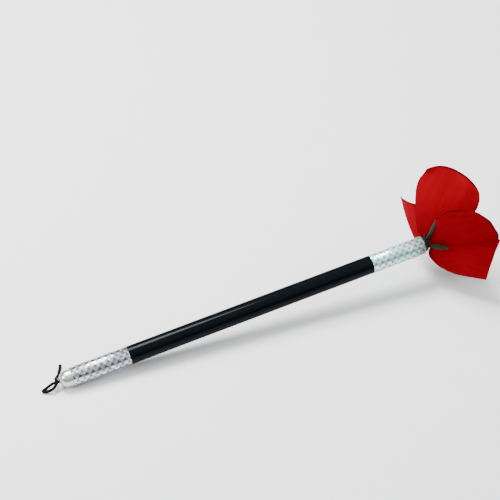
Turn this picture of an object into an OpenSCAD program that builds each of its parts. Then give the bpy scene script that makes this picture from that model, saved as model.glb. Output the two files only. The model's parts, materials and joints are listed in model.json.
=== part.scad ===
// Magician's flower wand: a hollow shaft that a silk flower springs out of.
// The wand lies as it does on a table: the rear end ring and the lowest petal touch z = 0.

/* [Shaft] */
// Length of the hollow shaft
shaft_len = 345; // [330:1:360]
// Outer diameter of the shaft
shaft_od = 17; // [16.5:0.5:18]
// Wall of the shaft
shaft_wall = 0.85; // [0.7:0.05:1]
// Length of each foil sleeve
foil_len = 53; // [45:1:60]
// Thickness of the foil
foil_thick = 0.15; // [0.12:0.01:0.18]
// Depth of the shallow seat that the foil is wound in
seat_depth = 0.05; // [0.04:0.01:0.08]
// Angle at which the shaft rises towards the flower
shaft_tilt = 5; // [4.8:0.1:5.2]

/* [Rear end] */
// Diameter of the rear dome
dome_od = 15.6; // [15:0.1:16]
// Length of the rear dome
dome_len = 11.3; // [10:0.1:12]
// Thickness of the ring under the dome
ring_thick = 1; // [0.8:0.1:1.5]
// Depth of the dome's plug in the shaft
plug_len = 14; // [10:1:20]
// Diameter of the hole for the cord
cord_hole_d = 2.9; // [2.8:0.1:3.2]
// Diameter of the cord
cord_d = 2.4; // [2.2:0.1:2.5]
// Diameter of the stop knot
knot_d = 5.2; // [4.9:0.1:5.6]

/* [Mechanism] */
// Distance that the flower travels
travel = 84; // [70:1:90]
// Distance from the rear end to the back of the plunger
plunger_at = 226; // [220:1:230]
// Length of the plunger
plunger_len = 12; // [10:1:14]
// Play round the plunger
plunger_play = 0.25; // [0.2:0.05:0.4]
// Length of the guide bush
bush_len = 12; // [10:1:16]
// Diameter of the flower's stem
stem_d = 3; // [2.5:0.1:3.5]
// Radial play of the stem in its bush
stem_play = 0.08; // [0.05:0.01:0.1]
// Outer diameter of the spring
spring_od = 12; // [11:0.5:13]
// Diameter of the spring wire
wire_d = 0.6; // [0.5:0.1:0.8]
// Turns of the spring
spring_turns = 20; // [16:1:24]

/* [Flower] */
// Radius of the calyx cup
cup_r = 7.05; // [6.8:0.05:7.2]
// Length of the outer petals
petal_len = 70; // [66:1:72]
// Widest half width of an outer petal
petal_half = 21; // [18:0.5:21.5]
// Half width of an outer petal's blunt end
petal_end_half = 18; // [14:1:19]
// Thickness of the outer petals
petal_thick = 1; // [0.8:0.1:1.2]
// Radius that the petals are bowed to
petal_bow = 110; // [105:5:140]
// Length turned over at the end of one outer petal
fold_over = 6; // [0:1:8]
// Length of the inner petals
inner_len = 46; // [40:1:50]
// Widest half width of an inner petal
inner_half = 12; // [10:1:13]
// Length of the sepals
sepal_len = 21; // [18:1:23]
// Half width of the sepals
sepal_half = 2.3; // [1.8:0.1:2.6]

/* [Placement] */
// Place of the shaft's rear end along X
place_x = -199.5; // [-201:0.5:-198]
// Place of the shaft's axis along Y
place_y = -5; // [-7:0.5:-3]

/* [Hidden] */
shaft_r = shaft_od / 2;
bore_r = shaft_r - shaft_wall;
seat_r = shaft_r - seat_depth;
foil_r = seat_r + foil_thick;
ring_r = foil_r + 0.03;
axis_z = (ring_r + ring_thick * tan(shaft_tilt)) * cos(shaft_tilt);
dome_r = dome_od / 2;
dome_end = -ring_thick - dome_len;
plunger_end = plunger_at + plunger_len;
plunger_r = bore_r - plunger_play;
bush_at = plunger_end + 0.4;
knot_at = dome_end - knot_d / 2 + 0.3;

// Hinge circles of the flower: distance along the shaft and radius
outer_hinge = [shaft_len + 6.5, 4.2];
inner_hinge = [shaft_len + 9.5, 3];
sepal_hinge = [shaft_len + 4.8, 6];
cup_back = shaft_len - 7;
cup_front = shaft_len + 5.2;

// The opening at which the lowest petal's blunt end meets the table
end_drop = axis_z + outer_hinge[0] * sin(shaft_tilt) - outer_hinge[1] * cos(shaft_tilt);
end_reach = sqrt(pow(petal_len, 2) + pow(petal_thick, 2));
floor_open = shaft_tilt + asin(end_drop / end_reach) - atan(1.05 * petal_thick / petal_len);

// Each leaf: turn round the shaft from straight up towards +Y, opening from the axis, and
// twist about its own length. The last outer petal's end is turned over, so it is shorter.
OUTER = [[-48, 47, 30], [12, 56, 32], [80, 79, 0], [180, floor_open, 0], [-97, 54, -6]];
OUTER_LEN = [petal_len - 2, petal_len, petal_len - 4, petal_len, petal_len - fold_over];
// Share of petal_half that each outer petal spreads to
OUTER_SPREAD = [0.95, 1, 0.7, 1, 0.6];
INNER = [[-16, 34, 0], [52, 40, 0], [134, 34, 0], [-143, 22, 0], [-77, 30, 0]];
SEPALS = [[-10, 64, 0], [42, 62, 0], [149, 72, 0], [-139, 50, 0], [-66, 56, 0]];

// Route of the loop and of the tail outside the knot, in the row's frame from the knot's centre
LOOP = [
    [-1.6, 1, -0.5], [-4, 1.7, -1.9], [-7, 1.8, -3.8], [-9.6, 1.7, -5.2], [-12, 1.2, -5.9],
    [-13.2, 0, -5.95], [-12, -1.2, -5.9], [-9.6, -2.3, -5.2], [-7, -3.2, -3.9],
    [-4, -3.2, -2.2], [-1.6, -1.8, -0.8]
];
TAIL = [
    [0, 1.6, 1], [0.2, 3.6, 0.6], [0.8, 6.2, -1.4], [2, 9, -4], [3.8, 12, -5.6],
    [5.8, 15, -5.9], [7.4, 18.2, -5.9], [8.8, 21.2, -5.9], [9.6, 23.2, -5.9]
];

$fn = 64;

// Stands what is drawn along +Z on the shaft's axis, at a distance from the rear end
module along(at) {
    translate([place_x, place_y, axis_z])
        rotate([0, 90 - shaft_tilt, 0])
            translate([0, 0, at])
                children();
}

module rod(r, at, len) {
    along(at)
        cylinder(r = r, h = len);
}

module sleeve(outer_r, inner_r, at, len) {
    along(at)
        rotate_extrude()
            translate([inner_r, 0])
                square([outer_r - inner_r, len]);
}

// Places a leaf that is drawn flat along +X: hinge is [distance, radius], pose is [turn, opening]
module leaf_place(hinge, pose) {
    translate([place_x, place_y, axis_z])
        rotate([0, -shaft_tilt, 0])
            rotate([-pose[0], 0, 0])
                translate([hinge[0], 0, hinge[1]])
                    rotate([0, -pose[1], 0])
                        rotate([pose[2], 0, 0])
                            children();
}

// A thin leaf bowed along its length, cut to the outline [x, half width]
module leaf(len, thick, bow, outline) {
    drop = sqrt(pow(bow, 2) - pow(len / 2, 2));
    right = [for (p = outline) [p[0], -p[1]]];
    left = [for (i = [len(outline) - 1:-1:0]) [outline[i][0], outline[i][1]]];
    intersection() {
        translate([0, 0, -1])
            linear_extrude(bow)
                polygon(concat(right, left));
        translate([len / 2, 0, -drop])
            rotate([90, 0, 0])
                rotate_extrude($fn = 128)
                    translate([bow, -len / 2])
                        square([thick, len]);
    }
}

// Tube of round section swept along points, closed at both ends
function unit(v) = v / norm(v);
function heading(pts, i) = unit(pts[min(i + 1, len(pts) - 1)] - pts[max(i - 1, 0)]);
function side(pts, i) = unit(cross([0.13, 0.21, 0.97], heading(pts, i)));
function ring_at(pts, i, r, sides) = [
    for (k = [0:sides - 1])
        pts[i] + r * (cos(360 * k / sides) * side(pts, i)
            + sin(360 * k / sides) * cross(heading(pts, i), side(pts, i)))
];

module swept(pts, r, sides) {
    rings = [for (i = [0:len(pts) - 1]) each ring_at(pts, i, r, sides)];
    walls = [
        for (i = [0:len(pts) - 2], k = [0:sides - 1])
            let (a = i * sides + k, b = i * sides + (k + 1) % sides)
                each [[a, a + sides, b], [b, a + sides, b + sides]]
    ];
    first = [for (k = [0:sides - 1]) k];
    last = [for (k = [sides - 1:-1:0]) (len(pts) - 1) * sides + k];
    polyhedron(rings, concat(walls, [first, last]));
}

// Plain tube with a shallow seat for the foil at each end
module shaft_tube() {
    color("black")
        along(0)
            rotate_extrude()
                polygon([
                    [bore_r, 0], [seat_r, 0], [seat_r, foil_len], [shaft_r, foil_len],
                    [shaft_r, shaft_len - foil_len], [seat_r, shaft_len - foil_len],
                    [seat_r, shaft_len], [bore_r, shaft_len]
                ]);
}

module rear_foil_sleeve() {
    color("silver")
        sleeve(foil_r, seat_r, 0, foil_len);
}

module front_foil_sleeve() {
    color("silver")
        sleeve(foil_r, seat_r, shaft_len - foil_len, foil_len);
}

module rear_end_ring() {
    color("gainsboro")
        sleeve(ring_r, dome_r - 1.2, -ring_thick, ring_thick);
}

// Rounded dome outside the ring, with a neck through the ring and a plug in the bore
module rear_dome_cap() {
    color("lightgray")
        difference() {
            union() {
                along(-ring_thick)
                    mirror([0, 0, 1])
                        rotate_extrude()
                            dome_section();
                rod(dome_r - 1.2, -ring_thick - 1, ring_thick + 1.5);
                rod(bore_r, 0, plug_len);
            }
            rod(cord_hole_d / 2, dome_end - 1, dome_len + ring_thick + plug_len + 2);
        }
}

// Half section of the dome: a short straight skirt and a rounded nose
module dome_section() {
    skirt = dome_len - dome_r;
    polygon(concat(
        [[0, 0], [dome_r, 0]],
        [for (a = [0:6:90]) [dome_r * cos(a), skirt + dome_r * sin(a)]]
    ));
}

module guide_bush() {
    color("ivory")
        sleeve(bore_r, stem_d / 2 + stem_play, bush_at, bush_len);
}

// Wire wound between the plug and the plunger
module compression_spring() {
    coil_r = (spring_od - wire_d) / 2;
    low = plug_len + wire_d / 2 + 0.1;
    high = plunger_at - wire_d / 2 - 0.1;
    steps = spring_turns * 14;
    route = [
        for (i = [0:steps])
            let (a = 360 * i / 14)
                [coil_r * cos(a), coil_r * sin(a), low + (high - low) * i / steps]
    ];
    color("darkgray")
        along(0)
            swept(route, wire_d / 2, 5);
}

// Sliding disc with a socket for the stem in front and a hollow for the anchor behind
module plunger() {
    color("dimgray")
        difference() {
            rod(plunger_r, plunger_at, plunger_len);
            rod(stem_d / 2, plunger_end - 6, 7);
            rod(3.2, plunger_at - 1, 4);
            rod(cord_d / 2, plunger_at - 1, 5.4);
        }
}

// Crimped bead that holds the cord's front end in the plunger
module cord_anchor() {
    color("silver")
        sleeve(3.2, cord_d / 2, plunger_at, 3);
}

module flower_stem() {
    color("darkgreen")
        rod(stem_d / 2, plunger_end - 6, shaft_len - 3 - (plunger_end - 6));
}

// Ring that clamps the calyx cup to the stem
module stem_collar() {
    color("black")
        sleeve(4.2, stem_d / 2, cup_back - 3, 3);
}

// Cup with a chamfered front and a stepped nose that the petals are set round
module calyx_cup() {
    nose_r = outer_hinge[1] - 0.7;
    tip_r = inner_hinge[1] - 0.7;
    color("darkgreen")
        difference() {
            along(0)
                rotate_extrude()
                    polygon([
                        [0, cup_back], [cup_r - 1, cup_back], [cup_r, cup_back + 1.5],
                        [cup_r, cup_front - 3], [sepal_hinge[1] - 0.8, cup_front],
                        [nose_r, cup_front], [nose_r, outer_hinge[0] + 0.8],
                        [tip_r, outer_hinge[0] + 1.6], [tip_r, inner_hinge[0] + 1],
                        [0, inner_hinge[0] + 1]
                    ]);
            rod(stem_d / 2, cup_back - 1, shaft_len - 3 - cup_back + 1);
        }
}

// Tightly rolled bud in the middle of the flower
module flower_bud() {
    bud_len = 22;
    bud_r = 4.6;
    base_r = 2;
    color("darkred")
        along(inner_hinge[0] + 1)
            rotate_extrude()
                polygon(concat(
                    [[0, 0]],
                    [for (t = [0:0.1:1]) [base_r + (bud_r - base_r) * sin(150 * t) - 2.2 * t * t, bud_len * t]],
                    [[0, bud_len + 0.6]]
                ));
}

module pull_cord() {
    color("black")
        rod(cord_d / 2, dome_end, plunger_at + 4 - dome_end);
}

// Moves what is drawn round the knot's centre to the rear of the dome
module at_knot() {
    translate([
        place_x + knot_at * cos(shaft_tilt),
        place_y,
        axis_z + knot_at * sin(shaft_tilt)
    ])
        children();
}

module stop_knot() {
    color("black")
        at_knot()
            sphere(d = knot_d);
}

module pull_loop() {
    color("black")
        at_knot()
            swept(LOOP, cord_d / 2, 8);
}

module cord_tail() {
    color("black")
        at_knot()
            swept(TAIL, cord_d / 2, 8);
}

module outer_petal(i) {
    len = OUTER_LEN[i];
    half = petal_half * OUTER_SPREAD[i];
    end_half = petal_end_half * OUTER_SPREAD[i];
    color("red")
        leaf_place(outer_hinge, OUTER[i])
            leaf(len, petal_thick, petal_bow, [
                [0.4, 2], [6, 4], [len * 0.35, half * 0.48], [len * 0.6, half * 0.84],
                [len * 0.8, half], [len * 0.92, half * 0.96], [len, end_half]
            ]);
}

module inner_petal(i) {
    color("firebrick")
        leaf_place(inner_hinge, INNER[i])
            leaf(inner_len, 0.8, petal_bow, [
                [0.4, 1.3], [5, 2.4], [inner_len * 0.4, inner_half * 0.62],
                [inner_len * 0.7, inner_half], [inner_len * 0.9, inner_half * 0.85],
                [inner_len, inner_half * 0.5]
            ]);
}

module sepal(i) {
    color("darkgreen")
        leaf_place(sepal_hinge, SEPALS[i])
            leaf(sepal_len, 0.8, 60, [
                [0.4, sepal_half], [sepal_len * 0.7, sepal_half],
                [sepal_len * 0.9, sepal_half * 0.7], [sepal_len, sepal_half * 0.25]
            ]);
}

shaft_tube();
rear_foil_sleeve();
front_foil_sleeve();
rear_end_ring();
rear_dome_cap();
guide_bush();
compression_spring();
plunger();
cord_anchor();
flower_stem();
stem_collar();
calyx_cup();
flower_bud();
pull_cord();
stop_knot();
pull_loop();
cord_tail();
for (i = [0:4]) outer_petal(i);
for (i = [0:4]) inner_petal(i);
for (i = [0:4]) sepal(i);
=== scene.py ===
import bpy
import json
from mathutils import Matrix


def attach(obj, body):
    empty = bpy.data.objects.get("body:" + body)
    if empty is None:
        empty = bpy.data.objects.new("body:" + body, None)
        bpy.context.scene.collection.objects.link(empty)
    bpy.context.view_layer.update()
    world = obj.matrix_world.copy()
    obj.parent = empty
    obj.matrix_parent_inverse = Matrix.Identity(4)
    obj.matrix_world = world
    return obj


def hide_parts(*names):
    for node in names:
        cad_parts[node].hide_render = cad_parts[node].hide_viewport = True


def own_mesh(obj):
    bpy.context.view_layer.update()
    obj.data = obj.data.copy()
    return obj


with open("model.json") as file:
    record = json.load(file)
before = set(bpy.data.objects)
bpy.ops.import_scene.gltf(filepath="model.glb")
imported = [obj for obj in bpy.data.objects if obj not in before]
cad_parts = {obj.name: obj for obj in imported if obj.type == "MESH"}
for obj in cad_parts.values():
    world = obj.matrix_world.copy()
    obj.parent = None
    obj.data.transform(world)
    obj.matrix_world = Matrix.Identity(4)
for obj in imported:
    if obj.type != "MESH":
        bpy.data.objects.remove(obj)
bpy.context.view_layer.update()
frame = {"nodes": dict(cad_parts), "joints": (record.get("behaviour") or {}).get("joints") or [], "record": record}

import json
import math
import random

import bpy
from mathutils import Matrix, Vector

bl_info = {
    "name": "Magician's flower wand",
    "version": (1, 0, 0),
    "blender": (4, 5, 0),
    "location": "3D View > Sidebar > Flower Wand",
    "description": "Dresses the packed wand: foil, turned metal, silk petals, calyx and pull cord",
    "category": "Object",
}

MM = 0.001

# ---------------------------------------------------------------- the wand's own axes

JOINTS = {joint["name"]: joint for joint in frame["joints"]}
MOUNTS = {mount["name"]: mount for mount in frame["record"]["mounts"]}
SHAFT_LEN = 345 * MM
SHAFT_R = MOUNTS["shaft_grip"]["dims"]["r_mm"] * MM
ALONG = -Vector(MOUNTS["shaft_grip"]["axis"]).normalized()
ACROSS = Vector((0, 1, 0))
UP = ALONG.cross(ACROSS)
TILT = math.atan2(ALONG.z, ALONG.x)
REAR = Vector(MOUNTS["shaft_grip"]["pos_m"]) - ALONG * (SHAFT_LEN / 2)


def on_shaft(along, across=0.0, up=0.0):
    """A point given by its distance from the shaft's rear end and its offsets from the axis."""
    return REAR + ALONG * along + ACROSS * across + UP * up


# Turns a piece drawn along +Z round the origin into place along the shaft
SHAFT_PLACE = Matrix.Translation(REAR) @ Matrix((UP * -1, ACROSS, ALONG)).transposed().to_4x4()

# ---------------------------------------------------------------- sizes shared by the pieces

WALL = 0.85 * MM
SEAT_DEPTH = 0.05 * MM
FOIL_THICK = 0.15 * MM
BORE_R = SHAFT_R - WALL
SEAT_R = SHAFT_R - SEAT_DEPTH
FOIL_R = SEAT_R + FOIL_THICK
FOIL_LEN = 53 * MM
RING_R = FOIL_R + 0.03 * MM
RING_THICK = 1 * MM
DOME_R = 7.8 * MM
DOME_LEN = 11.3 * MM
CORD_R = 1.3 * MM
CORD_HOLE_R = 1.45 * MM
HOLE_CHAMFER = 0.25 * MM
DOME_FOOT_R = DOME_R - 1.2 * MM
PLUG_LEN = 14 * MM
KNOT_R = 2.6 * MM
# How far the knot, and the cord's first point, sit inside the dome's nose
TUCK = 0.3 * MM
NOSE_AT = -RING_THICK - DOME_LEN
KNOT_AT = NOSE_AT - KNOT_R + TUCK
MOUTH = SHAFT_LEN
STEM_R = 1.5 * MM

# The cord's route outside the dome, from the knot's centre
LOOP = [
    (-1.6, 1, -0.5), (-4, 1.7, -1.9), (-7, 1.8, -3.8), (-9.6, 1.7, -5.2), (-12, 1.2, -5.9),
    (-13.2, 0, -5.95), (-12, -1.2, -5.9), (-9.6, -2.3, -5.2), (-7, -3.2, -3.9),
    (-4, -3.2, -2.2), (-1.6, -1.8, -0.8),
]
TAIL = [
    (0, 1.6, 1), (0.2, 3.6, 0.6), (0.8, 6.2, -1.4), (2, 9, -4), (3.8, 12, -5.6),
    (5.8, 15, -5.9), (7.4, 18.2, -5.9), (8.8, 21.2, -5.9), (9.6, 23.2, -5.9),
]

# Points of the cord where it passes through the knot
KNOT_IN = [(0.9, 0.4, 0.1)]
KNOT_OUT = [(0.3, -0.2, 0.3), (0.4, 0.6, 0.8)]


# ---------------------------------------------------------------- shapes of the leaves


def petal_shape(**own):
    """A petal's cut and hold: lengths in millimetres, turns in degrees, the rest shares.

    length, half and root are its length, its half width and its half width at the hinge.
    belly is where it gets widest and power how round it swells, unless fan says how it spreads.
    end is the width left at the far end, full what the negative side has more, slant how much
    shorter that side is, and round_end how much its corners are rounded off.
    cup, bow and flare bend it, and twist turns it about its length from onset on. drift takes its
    far end sideways along its own turned width, and lean along its hinge. turned is the length
    folded back at the far edge, and curl how far the negative side is rolled.
    """
    plain = dict(root=2.4, belly=0.5, power=1.7, fan=0, full=0, slant=0, round_end=0, bow=5.6,
                 flare=0, onset=-0.1, lean=0, drift=0, turned=0, curl=0)
    return {**plain, **own}


OUTER_SHAPES = {
    "outer_petal_1": petal_shape(
        length=68, half=32.5, end=0.82, full=-0.25, cup=5, round_end=0.1, flare=1, twist=35,
        onset=-0.15, belly=0.6, power=1.4, seed=3),
    "outer_petal_2": petal_shape(
        length=70.5, half=34, end=0.82, full=0.16, cup=5, round_end=0.17, flare=0.5, twist=37,
        onset=-1.2, belly=0.75, power=1.3, root=11, lean=2, curl=2, seed=5),
    "outer_petal_3": petal_shape(
        length=62, half=19, end=0.95, slant=0.72, cup=0, twist=28, onset=-1.5, fan=0.5, bow=1,
        root=12, lean=-8, seed=8),
    "outer_petal_4": petal_shape(
        length=66, half=18, end=0.8, cup=10, round_end=0.15, twist=0, lean=-8, seed=11),
    "outer_petal_5": petal_shape(
        length=67, half=22, end=0.92, cup=7, twist=-36, onset=-1.2, root=7, drift=12, turned=6,
        seed=14),
}
INNER_SHAPES = {
    f"inner_petal_{number}": petal_shape(
        length=46, half=19, end=0.85, cup=8, round_end=0.24, flare=2.5, twist=12, bow=3.5,
        root=1.6, seed=20 + number)
    for number in range(1, 6)
}
# Each sepal's length, and how far its tip leans across and lifts outwards, in millimetres
SEPAL_SHAPES = {
    1: (27.0, 0.5, 4.5), 2: (17.0, 0.0, 0.0), 3: (21.0, 0.0, 0.0), 4: (18.0, 0.0, 0.0),
    5: (21.5, -1.5, 0.5),
}
SEPAL_HALF = 2.2
# How far, in degrees, each kind of leaf folds past the shaft's own direction
OUTER_FOLD = -6.0
INNER_FOLD = -2.5
SEPAL_FOLD = -4.0
# No cloth comes nearer the floor than this
FLOOR_GAP = 0.5 * MM

# ---------------------------------------------------------------- small modelling helpers


def deselect():
    if bpy.context.object and bpy.context.object.mode != "OBJECT":
        bpy.ops.object.mode_set(mode="OBJECT")
    bpy.ops.object.select_all(action="DESELECT")


def only(piece):
    deselect()
    piece.select_set(True)
    bpy.context.view_layer.objects.active = piece


def named(name):
    piece = bpy.context.object
    piece.name = name
    piece.data.name = name
    return piece


def settle(piece, place):
    """Puts the piece's place into its mesh."""
    piece.data.transform(place)
    piece.data.update()


def finish_mesh(piece, *modifiers):
    """Adds each modifier, given as (type, {setting: value}), and applies it."""
    only(piece)
    for kind, settings in modifiers:
        modifier = piece.modifiers.new(kind.title(), kind)
        for key, value in settings.items():
            setattr(modifier, key, value)
        bpy.ops.object.modifier_apply(modifier=modifier.name)


def turned(name, rings, sides=96):
    """A shape turned on the shaft's axis, extruded from (distance, radius) to the next and closed."""
    deselect()
    start, radius = rings[0]
    bpy.ops.mesh.primitive_circle_add(vertices=sides, radius=radius, location=(0, 0, start))
    piece = named(name)
    bpy.ops.object.transform_apply(location=True)
    bpy.ops.object.mode_set(mode="EDIT")
    bpy.ops.mesh.select_all(action="SELECT")
    for distance, new_radius in rings[1:]:
        bpy.ops.mesh.extrude_region_move(TRANSFORM_OT_translate={"value": (0, 0, distance - start)})
        scale = new_radius / radius
        bpy.ops.transform.resize(value=(scale, scale, 1), center_override=(0, 0, distance))
        start, radius = distance, new_radius
    bpy.ops.mesh.select_all(action="DESELECT")
    bpy.ops.mesh.select_mode(type="EDGE")
    bpy.ops.mesh.select_non_manifold()
    bpy.ops.mesh.bridge_edge_loops()
    bpy.ops.mesh.select_mode(type="VERT")
    bpy.ops.mesh.select_all(action="SELECT")
    bpy.ops.mesh.remove_doubles(threshold=1e-6)
    bpy.ops.mesh.normals_make_consistent(inside=False)
    bpy.ops.object.mode_set(mode="OBJECT")
    return piece


def smooth(piece, angle=35):
    only(piece)
    bpy.ops.object.shade_smooth_by_angle(angle=math.radians(angle))


def dress(piece, material):
    piece.data.materials.clear()
    piece.data.materials.append(material)


def stand_for(piece, body, slot, *nodes):
    """The piece rides on the body and stands for these CAD nodes."""
    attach(piece, body)
    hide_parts(*nodes)


def leaf_axes(joint_name, fold):
    """A leaf's hinge and its length, width and outward directions, all at rest."""
    joint = JOINTS[joint_name]
    hinge = Vector(joint["pos_m"])
    width = -Vector(joint["axis"]).normalized()
    out = hinge - REAR
    out -= ALONG * out.dot(ALONG)
    out.normalize()
    opening = math.radians(-joint["range_deg"][0] + fold)
    ahead = ALONG * math.cos(opening) + out * math.sin(opening)
    outward = out * math.cos(opening) - ALONG * math.sin(opening)
    return hinge, ahead, width, outward


def smoothstep(value, low, high):
    share = min(max((value - low) / (high - low), 0), 1)
    return share * share * (3 - 2 * share)


# ---------------------------------------------------------------- shader node helpers


def new_tree(name):
    material = bpy.data.materials.new(name)
    material.use_nodes = True
    tree = material.node_tree
    shader = tree.nodes["Principled BSDF"]
    return material, tree, shader


def node(tree, kind, inputs=None, **settings):
    made = tree.nodes.new(kind)
    for key, value in settings.items():
        setattr(made, key, value)
    for key, value in (inputs or {}).items():
        plug(tree, made.inputs[key], value)
    return made


def plug(tree, socket, value):
    """Links an output to the socket, or sets the socket's own value."""
    if isinstance(value, bpy.types.NodeSocket):
        tree.links.new(value, socket)
    else:
        socket.default_value = value


def math_node(tree, operation, first, second=0.0, third=0.0, clamp=False):
    made = node(tree, "ShaderNodeMath", {0: first, 1: second, 2: third}, operation=operation)
    made.use_clamp = clamp
    return made.outputs[0]


def mix_colour(tree, share, first, second):
    made = tree.nodes.new("ShaderNodeMix")
    made.data_type = "RGBA"
    plug(tree, made.inputs["Factor"], share)
    plug(tree, made.inputs["A"], first)
    plug(tree, made.inputs["B"], second)
    return made.outputs["Result"]


def map_range(tree, value, low, high, to_low, to_high):
    made = node(tree, "ShaderNodeMapRange", {0: value, 1: low, 2: high, 3: to_low, 4: to_high})
    return made.outputs[0]


def noise(tree, vector, scale, detail=3.0, roughness=0.5):
    inputs = {"Vector": vector, "Scale": scale, "Detail": detail, "Roughness": roughness}
    return node(tree, "ShaderNodeTexNoise", inputs).outputs["Fac"]


def bump(tree, height, strength, distance):
    made = node(tree, "ShaderNodeBump", {"Height": height, "Strength": strength, "Distance": distance})
    return made.outputs["Normal"]


def shaft_vector(tree):
    """Object coordinates turned so that X runs along the shaft from its rear end."""
    coordinates = tree.nodes.new("ShaderNodeTexCoord")
    mapping = node(tree, "ShaderNodeMapping", {"Vector": coordinates.outputs["Object"]},
                   vector_type="TEXTURE")
    mapping.inputs["Location"].default_value = REAR
    mapping.inputs["Rotation"].default_value = (0, -TILT, 0)
    return mapping.outputs["Vector"]


def object_vector(tree):
    return tree.nodes.new("ShaderNodeTexCoord").outputs["Object"]


def uv_vector(tree, name):
    return node(tree, "ShaderNodeUVMap", uv_map=name).outputs["UV"]


def new_group(name, inputs, outputs):
    """A shader node group with its sockets, given as {name: (kind, default)}."""
    group = bpy.data.node_groups.new(name, "ShaderNodeTree")
    for key, (kind, default) in inputs.items():
        socket = group.interface.new_socket(key, in_out="INPUT", socket_type=kind)
        if default is not None:
            socket.default_value = default
    for key, kind in outputs.items():
        group.interface.new_socket(key, in_out="OUTPUT", socket_type=kind)
    start = group.nodes.new("NodeGroupInput")
    end = group.nodes.new("NodeGroupOutput")
    return group, start.outputs, end.inputs


def use_group(tree, name, inputs):
    made = tree.nodes.new("ShaderNodeGroup")
    made.node_tree = bpy.data.node_groups[name]
    for key, value in inputs.items():
        plug(tree, made.inputs[key], value)
    return made.outputs


VECTOR, FLOAT, COLOUR = "NodeSocketVector", "NodeSocketFloat", "NodeSocketColor"

# ---------------------------------------------------------------- shared effects


def build_handling_group():
    """Faint smudges and fine scratches that change roughness and tone a little."""
    tree, given, result = new_group(
        "Handling marks",
        {"Vector": (VECTOR, None), "Base": (COLOUR, (0.5, 0.5, 0.5, 1)), "Roughness": (FLOAT, 0.3),
         "Amount": (FLOAT, 0.1)},
        {"Color": COLOUR, "Roughness": FLOAT, "Height": FLOAT})
    smudge = noise(tree, given["Vector"], 38, 4)
    stretched = node(tree, "ShaderNodeMapping", {"Vector": given["Vector"]})
    stretched.inputs["Scale"].default_value = (0.12, 1, 1)
    scratch = noise(tree, stretched.outputs["Vector"], 2400, 2)
    tone = map_range(tree, smudge, 0.3, 0.7, -1, 1)
    change = math_node(tree, "MULTIPLY", tone, given["Amount"])
    plug(tree, result["Roughness"], math_node(tree, "ADD", given["Roughness"], change))
    lighter = math_node(tree, "MULTIPLY_ADD", change, 0.5, 1.0)
    tinted = node(tree, "ShaderNodeVectorMath", {0: given["Base"]}, operation="SCALE")
    plug(tree, tinted.inputs["Scale"], lighter)
    plug(tree, result["Color"], tinted.outputs[0])
    plug(tree, result["Height"], scratch)


def build_prism_group():
    """Diamond cells round the shaft, each tipped its own way like embossed prismatic foil. Their colour holds
    painted light: one half of each cell is painted lighter towards Light, the other half painted darker towards
    Tint and Dark, and the grooves between the cells get painted shade; each cell's tone also differs at random.
    """
    tree, given, result = new_group(
        "Prism cells",
        {"Vector": (VECTOR, None), "Cell length": (FLOAT, 0.0066), "Cells round": (FLOAT, 8.0),
         "Light": (COLOUR, (0.9, 0.9, 0.9, 1)), "Dark": (COLOUR, (0.4, 0.45, 0.45, 1)),
         "Tint": (COLOUR, (0.6, 0.9, 0.85, 1))},
        {"Color": COLOUR, "Roughness": FLOAT, "Height": FLOAT})
    parts = node(tree, "ShaderNodeSeparateXYZ", {0: given["Vector"]})
    angle = math_node(tree, "ARCTAN2", parts.outputs[1], parts.outputs[2])
    turn = math_node(tree, "MULTIPLY", math_node(tree, "DIVIDE", angle, 2 * math.pi), given["Cells round"])
    ahead = math_node(tree, "DIVIDE", parts.outputs[0], given["Cell length"])
    first = math_node(tree, "ADD", ahead, turn)
    second = math_node(tree, "SUBTRACT", ahead, turn)
    cell = node(tree, "ShaderNodeCombineXYZ",
                {0: math_node(tree, "FLOOR", first), 1: math_node(tree, "FLOOR", second)})
    chance = node(tree, "ShaderNodeTexWhiteNoise", {"Vector": cell.outputs[0]}, noise_dimensions="3D")
    dice = node(tree, "ShaderNodeSeparateColor", {0: chance.outputs["Color"]})
    in_first = math_node(tree, "FRACT", first)
    in_second = math_node(tree, "FRACT", second)
    tip_first = math_node(tree, "MULTIPLY", in_first, math_node(tree, "SUBTRACT", dice.outputs[0], 0.5))
    tip_second = math_node(tree, "MULTIPLY", in_second, math_node(tree, "SUBTRACT", dice.outputs[1], 0.5))
    dome_first = math_node(tree, "SINE", math_node(tree, "MULTIPLY", in_first, math.pi))
    dome_second = math_node(tree, "SINE", math_node(tree, "MULTIPLY", in_second, math.pi))
    dome = math_node(tree, "MULTIPLY", dome_first, dome_second)
    slope = math_node(tree, "ADD", tip_first, tip_second)
    plug(tree, result["Height"], math_node(tree, "MULTIPLY_ADD", dome, 0.45, slope))
    # Painted shade in the grooves between the cells
    painted_groove_shade = map_range(tree, dome, 0.0, 0.35, 1.0, 0.0)
    # Painted facet shading: one half of each cell is painted lighter and the other darker, as if lit from one
    # side; shade mixes it with each cell's random tone
    painted_facet_shading = math_node(tree, "SUBTRACT", in_first, in_second)
    shade = math_node(tree, "MULTIPLY_ADD", painted_facet_shading, 0.5, dice.outputs[2], clamp=True)
    body = mix_colour(tree, shade, given["Light"], given["Tint"])
    # How far the painted shade darkens each place towards Dark
    painted_shade_amount = math_node(tree, "MAXIMUM", math_node(tree, "MULTIPLY", painted_groove_shade, 0.65),
                      map_range(tree, painted_facet_shading, 0.0, 0.7, 0.0, 0.85))
    toned = mix_colour(tree, painted_shade_amount, body, given["Dark"])
    plug(tree, result["Color"], toned)
    plug(tree, result["Roughness"], map_range(tree, dice.outputs[2], 0, 1, 0.16, 0.42))


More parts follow.
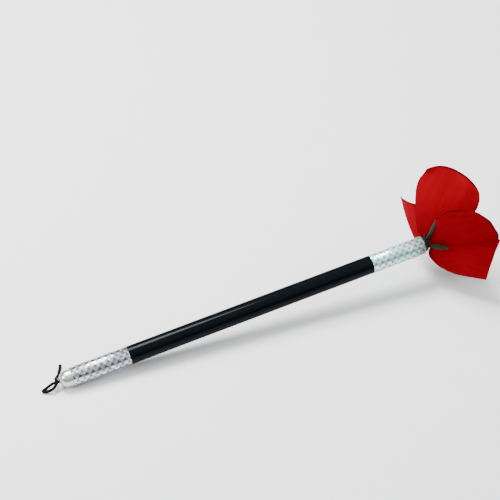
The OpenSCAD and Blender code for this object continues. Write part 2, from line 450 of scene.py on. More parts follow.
def build_silk_group():
    """A fine plain weave, with pressed creases, on UV coordinates in metres, and painted shade darkening each leaf
    towards its hinge deep in the flower.
    """
    tree, given, result = new_group(
        "Silk weave",
        {"Weave": (VECTOR, None), "Leaf": (VECTOR, None), "Thread": (FLOAT, 0.00032),
         "Base": (COLOUR, (0.6, 0.0, 0.0, 1)), "Deep": (COLOUR, (0.3, 0.0, 0.0, 1)),
         "Rim": (COLOUR, (0.1, 0.0, 0.0, 1))},
        {"Color": COLOUR, "Roughness": FLOAT, "Height": FLOAT})
    parts = node(tree, "ShaderNodeSeparateXYZ", {0: given["Weave"]})
    turns = math_node(tree, "DIVIDE", 2 * math.pi, given["Thread"])
    warp = math_node(tree, "SINE", math_node(tree, "MULTIPLY", parts.outputs[0], turns))
    weft = math_node(tree, "SINE", math_node(tree, "MULTIPLY", parts.outputs[1], turns))
    woven = math_node(tree, "MULTIPLY", warp, weft)
    leaf = node(tree, "ShaderNodeSeparateXYZ", {0: given["Leaf"]})
    side = math_node(tree, "ABSOLUTE", math_node(tree, "MULTIPLY_ADD", leaf.outputs[0], 2.0, -1.0))
    fan = math_node(tree, "MULTIPLY", leaf.outputs[0], 14.0)
    outwards = math_node(tree, "MULTIPLY", leaf.outputs[1], 1.3)
    vein_place = node(tree, "ShaderNodeCombineXYZ", {0: fan, 1: outwards})
    vein = noise(tree, vein_place.outputs[0], 1.6, 3, 0.6)
    crease = noise(tree, given["Weave"], 42, 4, 0.55)
    soft = math_node(tree, "MULTIPLY_ADD", woven, 0.05, crease)
    plug(tree, result["Height"], math_node(tree, "MULTIPLY_ADD", vein, 0.55, soft))
    # Painted shade: each leaf is painted darker towards its hinge, deep in the flower, fading out by about half
    # its length; the veins add a random lighter and darker tone on top
    painted_hinge_shade_and_veins = map_range(tree, leaf.outputs[1], 0.0, 0.55, 0.75, 0.05)
    painted_hinge_shade_and_veins = math_node(tree, "ADD", painted_hinge_shade_and_veins, map_range(tree, vein, 0.35, 0.75, -0.12, 0.3), clamp=True)
    body = mix_colour(tree, painted_hinge_shade_and_veins, given["Base"], given["Deep"])
    thread = mix_colour(tree, map_range(tree, woven, -1, 1, 0.0, 0.16), body, given["Deep"])
    edge = math_node(tree, "MAXIMUM", side, leaf.outputs[1])
    rim = map_range(tree, edge, 0.965, 0.992, 0.0, 0.85)
    plug(tree, result["Color"], mix_colour(tree, rim, thread, given["Rim"]))
    plug(tree, result["Roughness"], map_range(tree, crease, 0.3, 0.7, 0.5, 0.66))


def build_moulded_group():
    """The faint pebble and flow marks of moulded plastic."""
    tree, given, result = new_group(
        "Moulded grain",
        {"Vector": (VECTOR, None), "Base": (COLOUR, (0.5, 0.5, 0.5, 1)), "Roughness": (FLOAT, 0.5)},
        {"Color": COLOUR, "Roughness": FLOAT, "Height": FLOAT})
    pebble = noise(tree, given["Vector"], 1800, 2)
    flow = noise(tree, given["Vector"], 120, 3)
    shade = map_range(tree, flow, 0.3, 0.7, 0.86, 1.12)
    tinted = node(tree, "ShaderNodeVectorMath", {0: given["Base"]}, operation="SCALE")
    plug(tree, tinted.inputs["Scale"], shade)
    plug(tree, result["Color"], tinted.outputs[0])
    rough = map_range(tree, pebble, 0.3, 0.7, -0.06, 0.06)
    plug(tree, result["Roughness"], math_node(tree, "ADD", given["Roughness"], rough))
    plug(tree, result["Height"], pebble)


# ---------------------------------------------------------------- materials


def finish_of(shader, **values):
    for key, value in values.items():
        shader.inputs[key.replace("_", " ")].default_value = value


def plug_surface(tree, shader, colour, roughness, height, strength, distance):
    plug(tree, shader.inputs["Base Color"], colour)
    plug(tree, shader.inputs["Roughness"], roughness)
    plug(tree, shader.inputs["Normal"], bump(tree, height, strength, distance))


def gloss_black():
    material, tree, shader = new_tree("Gloss black tube")
    effect = use_group(tree, "Handling marks", {
        "Vector": shaft_vector(tree), "Base": (0.0012, 0.0024, 0.0036, 1), "Roughness": 0.1, "Amount": 0.05})
    plug_surface(tree, shader, effect["Color"], effect["Roughness"], effect["Height"], 0.06, 0.02 * MM)
    finish_of(shader, Specular_IOR_Level=0.05)
    return material


# light is the colour of the cells' painted lit halves, dark the colour of their painted shade, tint the foil's own
# colour
def prism_foil(name, light, dark, tint, metallic, cell, relief):
    material, tree, shader = new_tree(name)
    effect = use_group(tree, "Prism cells", {
        "Vector": shaft_vector(tree), "Light": light, "Dark": dark, "Tint": tint, "Cell length": cell})
    plug_surface(tree, shader, effect["Color"], effect["Roughness"], effect["Height"], 0.3, relief)
    finish_of(shader, Metallic=metallic, Coat_Weight=0.15, Coat_Roughness=0.15)
    return material


def turned_metal(name, base, roughness):
    material, tree, shader = new_tree(name)
    place = shaft_vector(tree)
    effect = use_group(tree, "Handling marks", {
        "Vector": place, "Base": base, "Roughness": roughness, "Amount": 0.07})
    parts = node(tree, "ShaderNodeSeparateXYZ", {0: place})
    off_axis = node(tree, "ShaderNodeCombineXYZ", {0: parts.outputs[1], 1: parts.outputs[2]}).outputs[0]
    radius = node(tree, "ShaderNodeVectorMath", {0: off_axis}, operation="LENGTH").outputs["Value"]
    lathe = math_node(tree, "MULTIPLY", math_node(tree, "SUBTRACT", parts.outputs[0], radius), 21000.0)
    groove = math_node(tree, "MULTIPLY_ADD", math_node(tree, "SINE", lathe), 0.5, effect["Height"])
    plug_surface(tree, shader, effect["Color"], effect["Roughness"], groove, 0.12, 0.04 * MM)
    finish_of(shader, Metallic=1.0)
    return material


def moulded(name, base, roughness):
    material, tree, shader = new_tree(name)
    effect = use_group(tree, "Moulded grain", {
        "Vector": object_vector(tree), "Base": base, "Roughness": roughness})
    plug_surface(tree, shader, effect["Color"], effect["Roughness"], effect["Height"], 0.25, 0.05 * MM)
    return material


# deep is the threads' darker red and also the painted shade towards each leaf's hinge
def silk(name, base, deep_red_and_painted_shade, rim):
    material, tree, shader = new_tree(name)
    effect = use_group(tree, "Silk weave", {
        "Weave": uv_vector(tree, "weave"), "Leaf": uv_vector(tree, "leaf"),
        "Base": base, "Deep": deep_red_and_painted_shade, "Rim": rim})
    plug_surface(tree, shader, effect["Color"], effect["Roughness"], effect["Height"], 0.4, 0.6 * MM)
    finish_of(shader, Specular_IOR_Level=0.01)
    return material


def leaf_green():
    material, tree, shader = new_tree("Dark green leaf")
    place = uv_vector(tree, "leaf")
    effect = use_group(tree, "Moulded grain", {
        "Vector": object_vector(tree), "Base": (0.002, 0.0075, 0.002, 1), "Roughness": 0.5})
    parts = node(tree, "ShaderNodeSeparateXYZ", {0: place})
    middle = math_node(tree, "ABSOLUTE", math_node(tree, "SUBTRACT", parts.outputs[0], 0.5))
    rib = map_range(tree, middle, 0.02, 0.1, 1.0, 0.0)
    tip = map_range(tree, parts.outputs[1], 0.0, 1.0, 0.0, 0.6)
    paler = mix_colour(tree, tip, effect["Color"], (0.004, 0.012, 0.003, 1))
    colour = mix_colour(tree, rib, paler, (0.002, 0.006, 0.002, 1))
    slanted = math_node(tree, "SUBTRACT", parts.outputs[1], middle)
    side_vein = math_node(tree, "SINE", math_node(tree, "MULTIPLY", slanted, 75.0))
    plug_surface(tree, shader, colour, effect["Roughness"], side_vein, 0.25, 0.1 * MM)
    finish_of(shader, Specular_IOR_Level=0.12)
    return material


def braid_black():
    material, tree, shader = new_tree("Black braided cord")
    place = object_vector(tree)
    weave = node(tree, "ShaderNodeTexVoronoi", {"Vector": place, "Scale": 2600.0})
    strand = map_range(tree, weave.outputs["Distance"], 0.0, 0.7, 1.0, 0.0)
    fuzz = noise(tree, place, 5200, 2)
    colour = mix_colour(tree, strand, (0.001, 0.001, 0.0015, 1), (0.006, 0.006, 0.007, 1))
    roughness = map_range(tree, fuzz, 0.3, 0.7, 0.6, 0.85)
    plug_surface(tree, shader, colour, roughness, strand, 0.6, 0.15 * MM)
    finish_of(shader, Specular_IOR_Level=0.08)
    return material


def pale_floor():
    material, tree, shader = new_tree("Pale floor")
    grain = noise(tree, object_vector(tree), 24, 4)
    colour = mix_colour(tree, grain, (0.84, 0.84, 0.84, 1), (0.87, 0.87, 0.87, 1))
    plug(tree, shader.inputs["Base Color"], colour)
    plug(tree, shader.inputs["Roughness"], map_range(tree, grain, 0.3, 0.7, 0.7, 0.8))
    return material


MATERIALS = {
    "shaft": gloss_black,
    # Each foil's light colour is painted on the lit half of its cells and its dark colour is painted shade
    "rear foil": lambda: prism_foil(
        "Rear prism foil", light=(0.8, 0.81, 0.84, 1), dark=(0.04, 0.045, 0.055, 1),
        tint=(0.3, 0.32, 0.36, 1), metallic=0.95, cell=6 * MM, relief=1 * MM),
    "front foil": lambda: prism_foil(
        "Front prism foil", light=(0.82, 0.97, 0.94, 1), dark=(0.05, 0.17, 0.16, 1),
        tint=(0.34, 0.74, 0.67, 1), metallic=0.6, cell=6.4 * MM, relief=0.9 * MM),
    "dome": lambda: turned_metal("Satin turned metal", (0.56, 0.57, 0.52, 1), 0.33),
    "spring": lambda: turned_metal("Drawn spring wire", (0.4, 0.4, 0.41, 1), 0.34),
    "anchor": lambda: turned_metal("Crimped soft metal", (0.62, 0.62, 0.63, 1), 0.42),
    "stem": lambda: moulded("Coated stem wire", (0.02, 0.07, 0.02, 1), 0.45),
    "bush": lambda: moulded("Natural bush plastic", (0.7, 0.68, 0.6, 1), 0.45),
    "plunger": lambda: moulded("Dark plunger plastic", (0.045, 0.045, 0.05, 1), 0.5),
    "collar": lambda: moulded("Black collar plastic", (0.008, 0.009, 0.008, 1), 0.45),
    "cup": lambda: moulded("Calyx green plastic", (0.002, 0.007, 0.003, 1), 0.42),
    "sepal": leaf_green,
    # The petals', inner petals' and bud's deep colour is also painted as shade towards their hinges and base
    "petal": lambda: silk(
        "Red petal silk", base=(0.21, 0.0, 0.004, 1), deep_red_and_painted_shade=(0.12, 0.0, 0.003, 1), rim=(0.03, 0.0, 0.002, 1)),
    "inner": lambda: silk(
        "Deep red silk", base=(0.2, 0.0, 0.005, 1), deep_red_and_painted_shade=(0.09, 0.0, 0.003, 1), rim=(0.03, 0.0, 0.002, 1)),
    "cord": braid_black,
    "floor": pale_floor,
}
made_materials = {}


def material_of(key):
    if not bpy.data.node_groups.get("Silk weave"):
        build_handling_group()
        build_prism_group()
        build_silk_group()
        build_moulded_group()
    if key not in made_materials:
        made_materials[key] = MATERIALS[key]()
    return made_materials[key]


# ---------------------------------------------------------------- cloth leaves


def leaf_point(along, across, shape, wobble):
    """A point of a leaf in millimetres: along its chord, across it and outwards."""
    length, root, power = shape["length"], shape["root"], shape["power"]
    if shape["fan"]:
        swell = along ** shape["fan"]
    else:
        swell = (1 - max(0.0, 1 - along / shape["belly"]) ** power) ** (1 / power)
    end = shape["end"] + shape["full"] * (0.5 - across / 2)
    narrowing = 1 - (1 - end) * smoothstep(along, 0.5, 1)
    width = (root + (shape["half"] - root) * swell) * narrowing
    x = length * along * (1 - shape["round_end"] * abs(across) ** 2.8 * along ** 3)
    x *= 1 - shape["slant"] * (0.5 - across / 2) ** 0.8 * along ** 2
    y = width * across + shape["drift"] * along
    share = x / length
    bow = 4 * shape["bow"] * share * (1 - share)
    z = bow - shape["cup"] * across ** 2 * math.sin(math.pi * min(1, along * 1.02)) ** 0.8
    z += shape["flare"] * smoothstep(along, 0.78, 1) * (0.5 + across ** 2)
    for count, phase, size in wobble:
        z += size * along ** 2 * math.sin(count * across + phase)
    turn = math.radians(shape["twist"]) * smoothstep(along, shape["onset"], 0.45)
    lean = shape["lean"] * along
    return x, y * math.cos(turn) - z * math.sin(turn) + lean, y * math.sin(turn) + z * math.cos(turn)


def leaf_sheet(name, joint_name, fold, shape, columns, rows, thick):
    """A petal: a grid shaped to its outline, cupped and bowed, then given its thickness."""
    deselect()
    bpy.ops.mesh.primitive_grid_add(x_subdivisions=columns, y_subdivisions=rows, size=1)
    piece = named(name)
    hinge, ahead, width, outward = leaf_axes(joint_name, fold)
    dice = random.Random(shape["seed"])
    waves = ((2.6, 0.9), (5.2, 0.5), (9.5, 0.22))
    wobble = [(count, dice.uniform(0, 6.3), size) for count, size in waves]
    turned_share = shape["turned"] / shape["length"]
    fold_gap = 0.7
    mesh = piece.data
    weave = mesh.uv_layers[0]
    weave.name = "weave"
    leaf = mesh.uv_layers.new(name="leaf")
    flat = {}
    for vertex in mesh.vertices:
        across, along = vertex.co.x * 2, vertex.co.y + 0.5
        back = max(0, along - 1 + turned_share) if turned_share else 0
        x, y, z = leaf_point(along - 2 * back if back else along, across, shape, wobble)
        z -= fold_gap * smoothstep(back, 0, 0.02)
        rolled = smoothstep(-across, 0.78, 1) * smoothstep(along, 0.45, 0.7)
        z += shape["curl"] * rolled
        y += shape["curl"] * 0.9 * rolled ** 2
        flat[vertex.index] = (across, along, x, y)
        place = hinge + (ahead * x + width * y + outward * z) * MM
        place.z = max(place.z, FLOOR_GAP)
        vertex.co = place
    for loop in mesh.loops:
        across, along, x, y = flat[loop.vertex_index]
        weave.data[loop.index].uv = (y * MM, x * MM)
        leaf.data[loop.index].uv = (across / 2 + 0.5, along)
    only(piece)
    bpy.ops.object.mode_set(mode="EDIT")
    bpy.ops.mesh.select_all(action="SELECT")
    bpy.ops.mesh.normals_make_consistent(inside=False)
    bpy.ops.object.mode_set(mode="OBJECT")
    finish_mesh(piece,
                ("SOLIDIFY", {"thickness": thick, "offset": 0.0, "use_even_offset": True}),
                ("SUBSURF", {"levels": 1, "render_levels": 1}))
    smooth(piece, 60)
    return piece


def cut_area(shape, steps=60):
    """The flat area of a leaf's cut, in square metres."""
    total = 0
    for i in range(steps):
        along = (i + 0.5) / steps
        edge = leaf_point(along, 1, shape, [])
        total += 2 * math.hypot(edge[1], edge[2]) * shape["length"] / steps
    return total * MM * MM


def declare_leaf(shape):
    size = (2 * shape["half"] * MM, shape["length"] * MM)
    area = min(cut_area(shape), size[0] * size[1])


def pleat(piece, joint_name, fold):
    """Gives the leaf its own copy of its mesh; its hinge axes are worked out but not used."""
    hinge, ahead, width, outward = leaf_axes(joint_name, fold)
    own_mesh(piece)


def make_petal(name, shape, fold, material, slot, columns, rows):
    """Shapes one petal, dresses it and hangs it on its body in place of its CAD node."""
    joint_name = name + "_fold"
    thick = bpy.context.scene.flower_wand.petal_thick
    petal = leaf_sheet(name + "_silk", joint_name, fold, shape, columns, rows, thick)
    dress(petal, material_of(material))
    stand_for(petal, name, slot, name)
    declare_leaf(shape)
    pleat(petal, joint_name, fold)


# ---------------------------------------------------------------- settings


class WandSettings(bpy.types.PropertyGroup):
    """Sizes and colours that a user would change."""
    petal_thick: bpy.props.FloatProperty(
        name="Petal cloth", description="Thickness of the petals' silk",
        default=0.00025, min=0.0001, max=0.001, unit="LENGTH", precision=5)
    sepal_thick: bpy.props.FloatProperty(
        name="Sepal thickness", description="Thickness of the green sepals",
        default=0.0006, min=0.0003, max=0.001, unit="LENGTH", precision=5)
    camera_distance: bpy.props.FloatProperty(
        name="Camera distance", description="Distance from the camera to the wand's middle",
        default=1.3018, min=0.5, max=3, unit="LENGTH")
    floor_size: bpy.props.FloatProperty(
        name="Floor size", description="Side of the square floor",
        default=12.0, min=2, max=30, unit="LENGTH")
    light_strength: bpy.props.FloatProperty(
        name="Light strength", description="Strength of the studio's soft lights",
        default=1.0, min=0.1, max=5)
    backdrop_colour: bpy.props.FloatVectorProperty(
        name="Surroundings", description="Colour of the light from all round",
        default=(0.9, 0.93, 0.96), subtype="COLOR", min=0, max=1)


# ---------------------------------------------------------------- operators


class WAND_OT_stage(bpy.types.Operator):
    """Makes the camera, the pale floor and the soft studio lights"""
    bl_idname = "flower_wand.stage"
    bl_label = "Stage"

    def execute(self, context):
        settings = context.scene.flower_wand
        self.make_camera(settings.camera_distance)
        deselect()
        bpy.ops.mesh.primitive_plane_add(size=settings.floor_size, location=(0, 0, 0))
        floor = named("floor")
        dress(floor, material_of("floor"))
        self.make_lights(settings)
        return {"FINISHED"}

    def make_camera(self, distance):
        azimuth, elevation = math.radians(-23.38), math.radians(45.29)
        aim = Vector((-3.5 * MM, 6 * MM, 30 * MM))
        level = math.cos(elevation)
        back = Vector((math.sin(azimuth) * level, -math.cos(azimuth) * level, math.sin(elevation)))
        bpy.ops.object.camera_add(location=aim + back * distance)
        camera = bpy.context.object
        camera.name = "camera"
        camera.rotation_mode = "QUATERNION"
        camera.rotation_quaternion = (-back).to_track_quat("-Z", "Y")
        camera.data.sensor_width = 36
        camera.data.lens = 102.66
        camera.data.shift_x = -0.0438
        camera.data.shift_y = 0.0774
        camera.data.clip_start = 0.05
        bpy.context.scene.camera = camera

    def make_lights(self, settings):
        """Three soft lights, and a sky that is dark below and bright overhead."""
        lights = [
            ("key_softbox", (-0.25, 0.75, 1.5), 0.75, 66.0),
            ("fill_softbox", (-1.5, 0.2, 1.0), 0.7, 22.0),
            ("side_softbox", (1.5, -0.6, 1.1), 0.9, 9.0),
        ]
        for name, place, size, power in lights:
            bpy.ops.object.light_add(type="AREA", location=place)
            light = bpy.context.object
            light.name = name
            light.data.size = size
            light.data.energy = power * settings.light_strength
            light.rotation_mode = "QUATERNION"
            light.rotation_quaternion = (-Vector(place)).to_track_quat("-Z", "Y")
        world = bpy.context.scene.world or bpy.data.worlds.new("World")
        bpy.context.scene.world = world
        world.use_nodes = True
        tree = world.node_tree
        sky = tree.nodes["Background"]
        direction = tree.nodes.new("ShaderNodeTexCoord").outputs["Generated"]
        height = node(tree, "ShaderNodeSeparateXYZ", {0: direction})
        share = map_range(tree, height.outputs[2], 0.3, 0.85, 0.06, 1.0)
        tone = node(tree, "ShaderNodeVectorMath", {0: settings.backdrop_colour}, operation="SCALE")
        plug(tree, tone.inputs["Scale"], share)
        plug(tree, sky.inputs["Color"], tone.outputs[0])
        sky.inputs["Strength"].default_value = 1.7


class WAND_OT_shaft(bpy.types.Operator):
    """Turns the gloss black tube, with softened ends"""
    bl_idname = "flower_wand.shaft"
    bl_label = "Shaft tube"

    def execute(self, context):
        step = 0.15 * MM
        shaft = turned("black_shaft", [
            (0, BORE_R + step), (0, SEAT_R - step), (step, SEAT_R), (FOIL_LEN, SEAT_R),
            (FOIL_LEN, SHAFT_R), (SHAFT_LEN / 2, SHAFT_R), (MOUTH - FOIL_LEN, SHAFT_R),
            (MOUTH - FOIL_LEN, SEAT_R), (MOUTH - step, SEAT_R), (MOUTH, SEAT_R - step),
            (MOUTH, BORE_R + step), (MOUTH - step, BORE_R), (SHAFT_LEN / 2, BORE_R), (step, BORE_R),
        ])
        settle(shaft, SHAFT_PLACE)
        smooth(shaft)
        dress(shaft, material_of("shaft"))
        stand_for(shaft, "wand", "shaft_black", "shaft_tube")
        return {"FINISHED"}


class WAND_OT_foil(bpy.types.Operator):
    """Winds the prismatic foil on both ends of the shaft"""
    bl_idname = "flower_wand.foil"
    bl_label = "Foil sleeves"

    def execute(self, context):
        self.wind("rear_foil", 0, "rear foil", "foil_rear", "rear_foil_sleeve")
        self.wind("front_foil", MOUTH - FOIL_LEN, "front foil", "foil_front", "front_foil_sleeve")
        return {"FINISHED"}

    def wind(self, name, start, material, slot, node_name):
        lip = 0.05 * MM
        end = start + FOIL_LEN
        foil = turned(name, [
            (start, SEAT_R), (start, FOIL_R - lip), (start + lip, FOIL_R), (start + FOIL_LEN / 2, FOIL_R),
            (end - lip, FOIL_R), (end, FOIL_R - lip), (end, SEAT_R), (start + FOIL_LEN / 2, SEAT_R),
        ])
        settle(foil, SHAFT_PLACE)
        smooth(foil, 50)
        dress(foil, material_of(material))
        stand_for(foil, "wand", slot, node_name)


class WAND_OT_rear_end(bpy.types.Operator):
    """Turns the end ring and the satin dome with its cord hole"""
    bl_idname = "flower_wand.rear_end"
    bl_label = "Rear end"

    def execute(self, context):
        self.make_ring()
        self.make_dome()
        return {"FINISHED"}

    def make_ring(self):
        edge = 0.2 * MM
        ring = turned("end_ring", [
            (-RING_THICK, DOME_FOOT_R), (-RING_THICK, RING_R - edge), (-RING_THICK + edge, RING_R),
            (-edge, RING_R), (0, RING_R - edge), (0, DOME_FOOT_R),
        ])
        settle(ring, SHAFT_PLACE)
        smooth(ring, 50)
        dress(ring, material_of("dome"))
        stand_for(ring, "wand", "end_metal", "rear_end_ring")

    def make_dome(self):
        skirt = -RING_THICK - (DOME_LEN - DOME_R)
        groove = 0.25 * MM
        nose = [math.radians(a) for a in range(0, 79, 6)]
        hole_edge = math.acos((CORD_HOLE_R + HOLE_CHAMFER) / DOME_R)
        hole_at = skirt - DOME_R * math.sin(hole_edge)
        rings = [
            (PLUG_LEN, CORD_HOLE_R), (PLUG_LEN, BORE_R), (0, BORE_R), (0, DOME_FOOT_R),
            (-RING_THICK, DOME_FOOT_R), (-RING_THICK, DOME_R - groove), (-RING_THICK - groove, DOME_R),
        ]
        rings += [(skirt - DOME_R * math.sin(a), DOME_R * math.cos(a)) for a in nose if a < hole_edge]
        rings += [(hole_at, CORD_HOLE_R + HOLE_CHAMFER), (hole_at + 0.2 * MM, CORD_HOLE_R)]
        dome = turned("rear_dome", rings)
        settle(dome, SHAFT_PLACE)
        smooth(dome, 40)
        dress(dome, material_of("dome"))
        stand_for(dome, "wand", "end_metal", "rear_dome_cap")


class WAND_OT_calyx(bpy.types.Operator):
    """Turns the calyx cup and shapes the five sepals"""
    bl_idname = "flower_wand.calyx"
    bl_label = "Calyx"

    def execute(self, context):
        self.make_cup()
        for number in range(1, 6):
            self.make_sepal(number, context.scene.flower_wand.sepal_thick)
        return {"FINISHED"}

    def make_cup(self):
        back, front, cup_r = MOUTH - 7 * MM, MOUTH + 5.2 * MM, 7.05 * MM
        cup = turned("calyx_cup_turned", [
            (back, STEM_R), (back, cup_r - 1 * MM), (back + 1.5 * MM, cup_r), (front - 4.4 * MM, cup_r),
            (front - 3 * MM, cup_r), (front - 1.6 * MM, cup_r - 0.7 * MM),
            (front - 0.5 * MM, cup_r - 1.6 * MM), (front, 5.2 * MM), (front, 3.6 * MM),
            (front + 2.1 * MM, 3.5 * MM), (front + 2.9 * MM, 2.3 * MM), (front + 5.3 * MM, 2.3 * MM),
            (front + 5.3 * MM, STEM_R * 0.4), (back + 6 * MM, STEM_R * 0.4), (back + 6 * MM, STEM_R),
        ], sides=60)
        settle(cup, SHAFT_PLACE)
        smooth(cup, 40)
        dress(cup, material_of("cup"))
        stand_for(cup, "flower_carrier", "calyx_green", "calyx_cup")

    def make_sepal(self, number, thick):
        name = f"sepal_{number}"
        deselect()
        bpy.ops.mesh.primitive_grid_add(x_subdivisions=8, y_subdivisions=22, size=1)
        piece = named(name + "_leaf")
        hinge, ahead, width, outward = leaf_axes(name + "_fold", SEPAL_FOLD)
        length, lean, lift = SEPAL_SHAPES[number]
        mesh = piece.data
        mesh.uv_layers[0].name = "leaf"
        for vertex in mesh.vertices:
            across, along = vertex.co.x * 2, vertex.co.y + 0.5
            pointed = math.sqrt(max(0.0, 1 - along ** 7))
            side = SEPAL_HALF * (1 - 0.12 * math.cos(along * 2 * math.pi)) * pointed
            side = max(side, 0.25)
            x = length * along
            y = side * across + lean * along
            arch = 3.0 * along * (1 - along)
            trough = 0.45 * across ** 2 * (1 - along)
            rib = 0.35 * (1 - abs(across)) ** 2
            z = 0.4 + arch - trough + rib + lift * along ** 2
            vertex.co = hinge + (ahead * x + width * y + outward * z) * MM
        finish_mesh(piece,
                    ("SOLIDIFY", {"thickness": thick, "offset": 0.0, "use_even_offset": True}),
                    ("SUBSURF", {"levels": 2, "render_levels": 2}))
        smooth(piece, 60)
        dress(piece, material_of("sepal"))
        stand_for(piece, name, "sepal_green", name)


class WAND_OT_outer_petals(bpy.types.Operator):
    """Shapes the five large silk petals"""
    bl_idname = "flower_wand.outer_petals"
    bl_label = "Outer petals"

    def execute(self, context):
        for name, shape in OUTER_SHAPES.items():
            make_petal(name, shape, OUTER_FOLD, "petal", "petal_silk", columns=36, rows=40)
        return {"FINISHED"}


class WAND_OT_inner_petals(bpy.types.Operator):
    """Shapes the five small silk petals inside the flower"""
    bl_idname = "flower_wand.inner_petals"
    bl_label = "Inner petals"

    def execute(self, context):
        for name, shape in INNER_SHAPES.items():
            make_petal(name, shape, INNER_FOLD, "inner", "inner_silk", columns=26, rows=28)
        return {"FINISHED"}


class WAND_OT_bud(bpy.types.Operator):
    """Rolls a strip of silk into the bud in the middle"""
    bl_idname = "flower_wand.bud"
    bl_label = "Bud"

    def execute(self, context):
        strip, height, turns = 38.0, 20.0, 3.2
        deselect()
        bpy.ops.mesh.primitive_grid_add(x_subdivisions=120, y_subdivisions=14, size=1)
        bud = named("rolled_bud")
        mesh = bud.data
        mesh.uv_layers[0].name = "weave"
        leaf = mesh.uv_layers.new(name="leaf")
        base = MOUTH + 10.5 * MM
        flat = {}
        for vertex in mesh.vertices:
            along, up = vertex.co.x + 0.5, vertex.co.y + 0.5
            angle = turns * 2 * math.pi * along
            belly = 0.55 + 0.45 * math.sin(math.pi * min(1, 0.12 + up * 0.78))
            radius = (0.9 + 3.3 * along) * belly * (1 - 0.25 * up) * MM
            lean = 1 + 0.04 * math.sin(angle * 0.7)
            top = height * up * (0.9 + 0.1 * math.sin(angle + 0.5) * up) * lean
            vertex.co = on_shaft(base + top * MM, radius * math.cos(angle), radius * math.sin(angle))
            flat[vertex.index] = (along, up)
        for loop in mesh.loops:
            along, up = flat[loop.vertex_index]
            mesh.uv_layers["weave"].data[loop.index].uv = (along * strip * MM, up * height * MM)
            leaf.data[loop.index].uv = (0.05 + 0.9 * along, up)
        finish_mesh(bud,
                    ("SOLIDIFY", {"thickness": 0.22 * MM, "offset": 0.0}),
                    ("SUBSURF", {"levels": 1, "render_levels": 1}))
        smooth(bud, 60)
        dress(bud, material_of("inner"))
        stand_for(bud, "flower_carrier", "bud_silk", "flower_bud")
        return {"FINISHED"}


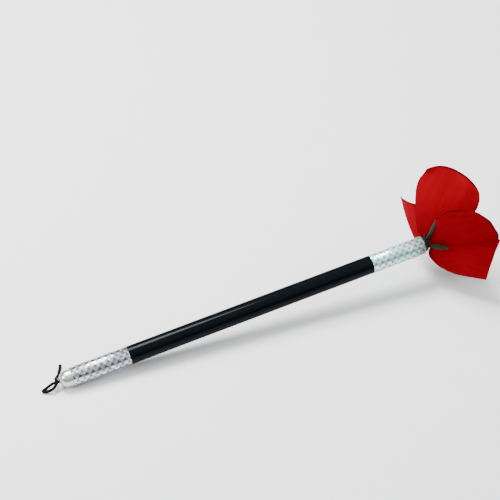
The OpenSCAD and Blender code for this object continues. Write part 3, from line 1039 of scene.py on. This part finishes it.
class WAND_OT_cord(bpy.types.Operator):
    """Lays the free cord's loop and tail and ties the stop knot"""
    bl_idname = "flower_wand.cord"
    bl_label = "Cord"

    def execute(self, context):
        knot_centre = on_shaft(KNOT_AT)
        exit_point = on_shaft(NOSE_AT + TUCK)
        route = [exit_point] + [knot_centre + Vector(p) * MM for p in KNOT_IN + LOOP + KNOT_OUT + TAIL]
        line = self.smoothed(route, 5)
        cord = self.tube("pull_cord_end", line, CORD_R)
        dress(cord, material_of("cord"))
        knot = self.tie_knot(knot_centre)
        stand_for(knot, "flower_carrier", "cord_black", "stop_knot")
        stand_for(cord, "flower_carrier", "cord_black", "pull_loop", "cord_tail")
        self.seal_end(knot_centre + Vector(TAIL[-1]) * MM)
        return {"FINISHED"}

    def length(self, points):
        return sum((b - a).length for a, b in zip(points, points[1:]))

    def smoothed(self, points, steps):
        """Points on one smooth curve through the route."""
        result = []
        ends = [points[0]] + points + [points[-1]]
        for i in range(1, len(ends) - 2):
            before, first, second, after = ends[i - 1:i + 3]
            for k in range(steps):
                t = k / steps
                result.append(0.5 * (2 * first + (second - before) * t
                                     + (2 * before - 5 * first + 4 * second - after) * t * t
                                     + (3 * first - before - 3 * second + after) * t ** 3))
        result.append(points[-1])
        return result

    def tube(self, name, points, radius, closed=False):
        curve = bpy.data.curves.new(name, "CURVE")
        curve.dimensions = "3D"
        curve.bevel_depth = radius
        curve.bevel_resolution = 5
        curve.use_fill_caps = not closed
        spline = curve.splines.new("POLY")
        spline.points.add(len(points) - 1)
        for point, place in zip(spline.points, points):
            point.co = (*place, 1)
        spline.use_cyclic_u = closed
        spline.use_smooth = True
        piece = bpy.data.objects.new(name, curve)
        bpy.context.scene.collection.objects.link(piece)
        return piece

    def tie_knot(self, centre):
        """An overhand knot pulled tight: a thick strand wound as a trefoil."""
        count, strand_r = 96, 0.78 * MM
        points = []
        for i in range(count):
            a = 2 * math.pi * i / count
            trefoil = Vector((
                0.52 * (math.sin(a) + 2 * math.sin(2 * a)),
                0.5 * (math.cos(a) - 2 * math.cos(2 * a)),
                0.75 * -math.sin(3 * a),
            ))
            points.append(centre + trefoil * MM)
        knot = self.tube("stop_knot_tied", points, strand_r, closed=True)
        only(knot)
        bpy.ops.object.convert(target="MESH")
        knot = named("stop_knot_tied")
        dress(knot, material_of("cord"))
        return knot

    def seal_end(self, place):
        """The cord's end, melted to a small bead, a little flattened."""
        deselect()
        bpy.ops.mesh.primitive_uv_sphere_add(segments=24, ring_count=14, radius=1.5 * MM, location=place)
        bead = named("cord_bead")
        bpy.ops.object.transform_apply(location=True)
        bpy.ops.object.mode_set(mode="EDIT")
        bpy.ops.mesh.select_all(action="SELECT")
        bpy.ops.transform.resize(value=(0.92, 1.06, 0.86), center_override=place)
        bpy.ops.object.mode_set(mode="OBJECT")
        smooth(bead, 80)
        dress(bead, material_of("cord"))
        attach(bead, "flower_carrier")


class WAND_OT_mechanism(bpy.types.Operator):
    """Gives the working parts inside the shaft their finishes"""
    bl_idname = "flower_wand.mechanism"
    bl_label = "Mechanism"

    def execute(self, context):
        finishes = {
            "guide_bush": "bush", "compression_spring": "spring", "plunger": "plunger",
            "cord_anchor": "anchor", "flower_stem": "stem", "stem_collar": "collar", "pull_cord": "cord",
        }
        for name, key in finishes.items():
            dress(frame["nodes"][name], material_of(key))
        return {"FINISHED"}


class WAND_PT_panel(bpy.types.Panel):
    """Lists the wand's pieces in the 3D view's sidebar"""
    bl_idname = "WAND_PT_panel"
    bl_label = "Flower Wand"
    bl_space_type = "VIEW_3D"
    bl_region_type = "UI"
    bl_category = "Flower Wand"

    def draw(self, context):
        layout = self.layout
        settings = context.scene.flower_wand
        for key in WandSettings.__annotations__:
            layout.prop(settings, key)
        for operator in OPERATORS:
            layout.operator(operator.bl_idname)


OPERATORS = (
    WAND_OT_stage, WAND_OT_cord, WAND_OT_shaft, WAND_OT_foil, WAND_OT_rear_end, WAND_OT_calyx,
    WAND_OT_outer_petals, WAND_OT_inner_petals, WAND_OT_bud, WAND_OT_mechanism,
)
CLASSES = (WandSettings, *OPERATORS, WAND_PT_panel)


def register():
    for item in CLASSES:
        bpy.utils.register_class(item)
    bpy.types.Scene.flower_wand = bpy.props.PointerProperty(type=WandSettings)


def unregister():
    del bpy.types.Scene.flower_wand
    for item in reversed(CLASSES):
        bpy.utils.unregister_class(item)


def main():
    register()
    for operator in OPERATORS:
        group, name = operator.bl_idname.split(".")
        getattr(getattr(bpy.ops, group), name)()


if __name__ == "__main__":
    main()
